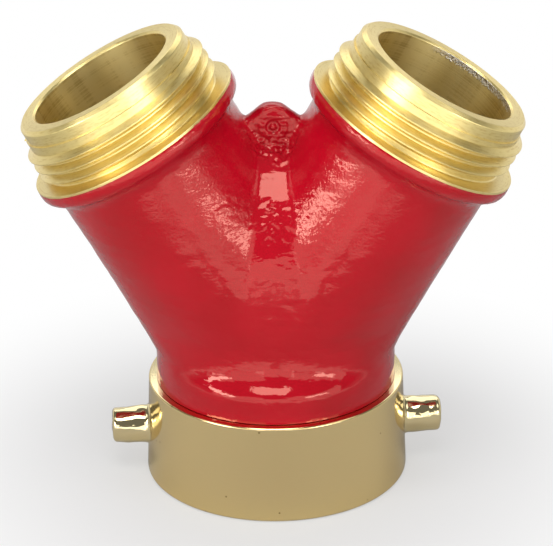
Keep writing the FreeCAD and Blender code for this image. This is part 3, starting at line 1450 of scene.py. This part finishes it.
@dataclass
class Studio:
    """Pale floor and backdrop under an overhead box, with scrims, panels, key boxes and fills, in metres."""

    floor_colour: str = "#B4B4B4"
    floor_roughness: float = 0.9
    floor_specular: float = 0.1
    floor_size: float = 5.0
    floor_gap: float = 0.0001
    shadow_reach: tuple[float, float] = (0.03, 0.12)
    shadow_lift: float = 0.5
    mirror_reach: tuple[float, float] = (0.16, 0.42)
    horizon: float = 0.8
    ceiling: float = 0.18
    ceiling_rise: float = 0.35
    backdrop_rise: float = 0.35
    middle_z: float = 0.06
    # Key boxes draw the hot patches beside the crotch, and low boxes the small ones above them
    boxes: tuple[SoftBox, ...] = (
        SoftBox("overhead_soft_box", -6, 68, 1.1, (0.52, 0.66), 6.3),
        SoftBox("left_top_panel", -75, 50, 1.1, (0.5, 0.45), 1.5),
        SoftBox("right_top_panel", 75, 50, 1.1, (0.5, 0.45), 1.5),
        SoftBox("left_scrim", -34, 13, 1.3, (1.1, 0.62), 1.58),
        SoftBox("right_scrim", 35, 13, 1.3, (1.1, 0.62), 1.6),
        SoftBox("low_scrim", 0, 4, 1.3, (0.8, 0.36), 1.35, shape=PanelShape.OVAL),
        SoftBox("left_key_box", -51, 16.5, 1.0, (0.5, 0.19), 10.0, roll=-22),
        SoftBox("right_key_box", 38, 12, 1.0, (0.34, 0.17), 7.5, roll=12),
        SoftBox("left_low_box", -45, 1, 1.0, (0.12, 0.08), 4.0),
        SoftBox("right_low_box", 34, -2, 1.0, (0.08, 0.06), 4.0),
        SoftBox("back_panel", 180, 40, 1.3, (1.5, 0.7), 1.4),
    )
    fill_near: float = 0.185
    fill_far: float = 0.9
    fill_inner: float = 0.012
    fill_outer: float = 0.95
    fill_radiance: float = 1.05
    fill_height: float = 0.004

    def floor(self) -> None:
        """Lay the floor, which turns plain white to the eye a little way off the object's shadow."""
        material = bpy.data.materials.new("matt_white_paper")
        material.use_nodes = True
        tree = material.node_tree
        shader = tree.nodes["Principled BSDF"]
        shader.inputs["Base Color"].default_value = linear(self.floor_colour)
        shader.inputs["Roughness"].default_value = self.floor_roughness
        shader.inputs["Specular IOR Level"].default_value = self.floor_specular
        place = add_node(tree, "ShaderNodeTexCoord").outputs["Object"]
        away = add_node(tree, "ShaderNodeVectorMath", {0: place}, operation="LENGTH").outputs["Value"]
        near, far = [
            add_node(
                tree,
                "ShaderNodeMapRange",
                {"Value": away, "From Min": low, "From Max": high, "To Min": lift},
                interpolation_type="SMOOTHSTEP",
            ).outputs["Result"]
            for (low, high), lift in ((self.shadow_reach, self.shadow_lift), (self.mirror_reach, 0.0))
        ]
        path = add_node(tree, "ShaderNodeLightPath").outputs
        mirrored = add_node(
            tree,
            "ShaderNodeMath",
            {0: path["Is Glossy Ray"], 1: path["Is Transmission Ray"]},
            operation="MAXIMUM",
        )
        beyond = add_node(
            tree, "ShaderNodeMath", {0: far, 1: mirrored.outputs["Value"]}, operation="MULTIPLY"
        )
        white = add_node(
            tree,
            "ShaderNodeMath",
            {0: near, 1: path["Is Camera Ray"], 2: beyond.outputs["Value"]},
            operation="MULTIPLY_ADD",
        )
        glow = add_node(tree, "ShaderNodeEmission", {"Color": (1, 1, 1, 1), "Strength": 1.0})
        mix = add_node(
            tree,
            "ShaderNodeMixShader",
            {0: white.outputs["Value"], 1: shader.outputs["BSDF"], 2: glow.outputs["Emission"]},
        )
        tree.links.new(mix.outputs["Shader"], tree.nodes["Material Output"].inputs["Surface"])
        bm = bmesh.new()
        sunk = Matrix.Translation((0, 0, -self.floor_gap))
        bmesh.ops.create_grid(bm, x_segments=1, y_segments=1, size=self.floor_size / 2, matrix=sunk)
        new_object("studio_floor", bm, material)

    def surround(self) -> None:
        """Light the room evenly, from a backdrop as pale as the floor up to a dimmer ceiling."""
        world = bpy.data.worlds.new("studio_room")
        bpy.context.scene.world = world
        world.use_nodes = True
        tree = world.node_tree
        tree.nodes.clear()
        direction = add_node(tree, "ShaderNodeTexCoord").outputs["Generated"]
        parts = add_node(tree, "ShaderNodeSeparateXYZ", {"Vector": direction}).outputs
        rise = add_node(
            tree,
            "ShaderNodeMath",
            {0: parts["Y"], 1: -self.backdrop_rise, 2: parts["Z"]},
            operation="MULTIPLY_ADD",
        )
        level = add_node(
            tree,
            "ShaderNodeMapRange",
            {
                "Value": rise.outputs["Value"],
                "From Min": 0.0,
                "From Max": self.ceiling_rise,
                "To Min": self.horizon,
                "To Max": self.ceiling,
            },
        )
        room = add_node(
            tree, "ShaderNodeBackground", {"Color": (1, 1, 1, 1), "Strength": level.outputs["Result"]}
        )
        add_node(tree, "ShaderNodeOutputWorld", {"Surface": room.outputs["Background"]})

    def panel(
        self, name: str, shape: PanelShape, size: tuple[float, float], radiance: float, place: Matrix
    ) -> bpy.types.Object:
        """Put up a lamp with an even face.

        Args:
            name: Name of the light.
            shape: Outline of its face.
            size: Width and height of its face in metres.
            radiance: Brightness of its face.
            place: Place and direction: it shines down its own Z.

        Returns:
            The light.
        """
        data = bpy.data.lights.new(name, "AREA")
        data.shape = shape.value
        data.size, data.size_y = size
        data.energy = radiance * math.pi * size[0] * size[1]
        light = bpy.data.objects.new(name, data)
        light.matrix_world = place
        bpy.context.scene.collection.objects.link(light)
        return light

    def hang(self, box: SoftBox) -> None:
        """Hang a soft box so that it faces the object's middle.

        Args:
            box: The soft box.
        """
        middle = Matrix.Translation((0, 0, self.middle_z))
        turn = Matrix.Rotation(math.radians(box.azimuth), 4, "Z")
        tilt = Matrix.Rotation(math.radians(90 - box.elevation), 4, "X")
        lean = Matrix.Rotation(math.radians(box.roll), 4, "Z")
        place = middle @ turn @ tilt @ Matrix.Translation((0, 0, box.distance)) @ lean
        self.panel(box.name, box.shape, box.size, box.radiance, place)

    def floor_fill(self, side: Side) -> None:
        """Lay a fill panel on the floor in front, outside the picture, which lights the belly from below.

        Args:
            side: Left or right of the camera's slot.
        """
        across = side.value * (self.fill_inner + self.fill_outer) / 2
        ahead = -(self.fill_near + self.fill_far) / 2
        place = Matrix.Translation((across, ahead, self.fill_height)) @ Matrix.Rotation(math.pi, 4, "X")
        size = (self.fill_outer - self.fill_inner, self.fill_far - self.fill_near)
        name = f"floor_fill_{side.name.lower()}"
        light = self.panel(name, PanelShape.OBLONG, size, self.fill_radiance, place)
        light.visible_camera = False

    def build(self) -> None:
        """Set up floor, surround and lamps."""
        self.floor()
        self.surround()
        for box in self.boxes:
            self.hang(box)
        for side in Side:
            self.floor_fill(side)


def main() -> None:
    """Build the wye, its camera and its studio."""
    logging.basicConfig(level=logging.INFO, format="%(name)s: %(message)s")
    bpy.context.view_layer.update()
    bpy.context.scene.view_settings.view_transform = "Standard"
    fork = Fork()
    thread = HoseThread()
    enamel = GlossEnamel("red_gloss_enamel", "#A9081D", "#9C0718")
    outlet_brass = LatheBrass("turned_cast_brass", "#EDD892", "#D9BD73")
    bore_brass = LatheBrass(
        "reamed_cast_brass",
        "#EBD796",
        "#C6AB69",
        smear_mm=3.0,
        smear_round=44.0,
        smear_long=14.0,
        roughness=0.38,
    )
    # The darker colour of each buffed brass is the painted shade of its pits
    ring_brass = BuffedBrass("buffed_brass", "#EAD298", "#8C7648", roughness=0.12)
    lug_brass = BuffedBrass("polished_brass", "#EAD9A8", "#8C7648", roughness=0.06)
    plug_brass = LatheBrass("turned_plug_brass", "#D6BC76", "#B09048")
    # The waterway as it came from the sand: dull yellow with a coarse grain
    cast_brass = PlainFinish(
        "bare_cast_brass", "#A8945A", "#8A763F", metallic=1.0, roughness=0.45, mottle_mm=2.0
    )
    # Ground balls: a cool grey that mirrors what is near
    steel = PlainFinish(
        "ground_stainless_steel", "#C9C9C6", "#B4B4B0", metallic=1.0, roughness=0.15, mottle_mm=1.0
    )
    # The gasket as it left its mould: black with hardly any shine
    rubber = PlainFinish(
        "moulded_black_rubber", "#1B1B1B", "#101010", metallic=0.0, roughness=0.6, mottle_mm=0.8
    )
    patches = {Side.LEFT: None, Side.RIGHT: RawPatch(first=4.0, last=92.0, low=82.3)}
    bores = {side: bore_brass.material(fork.placement(side), patches[side]) for side in Side}
    WyeCasting(fork, CastSkin()).build(enamel.material(), bores, cast_brass.material())
    for side in Side:
        Outlet(fork, thread, side).build(outlet_brass.material(fork.placement(side)), bores[side])
    swivel = SwivelRing(thread)
    swivel.build(ring_brass.material(), lug_brass.material())
    inner = InnerPieces(swivel.plug_z)
    inner.dress("race_balls", steel.material())
    inner.dress("race_plug", plug_brass.material(inner.plug_axis))
    inner.dress("inlet_gasket", rubber.material())
    PhotoCamera().build()
    Studio().build()


if __name__ == "__main__":
    main()
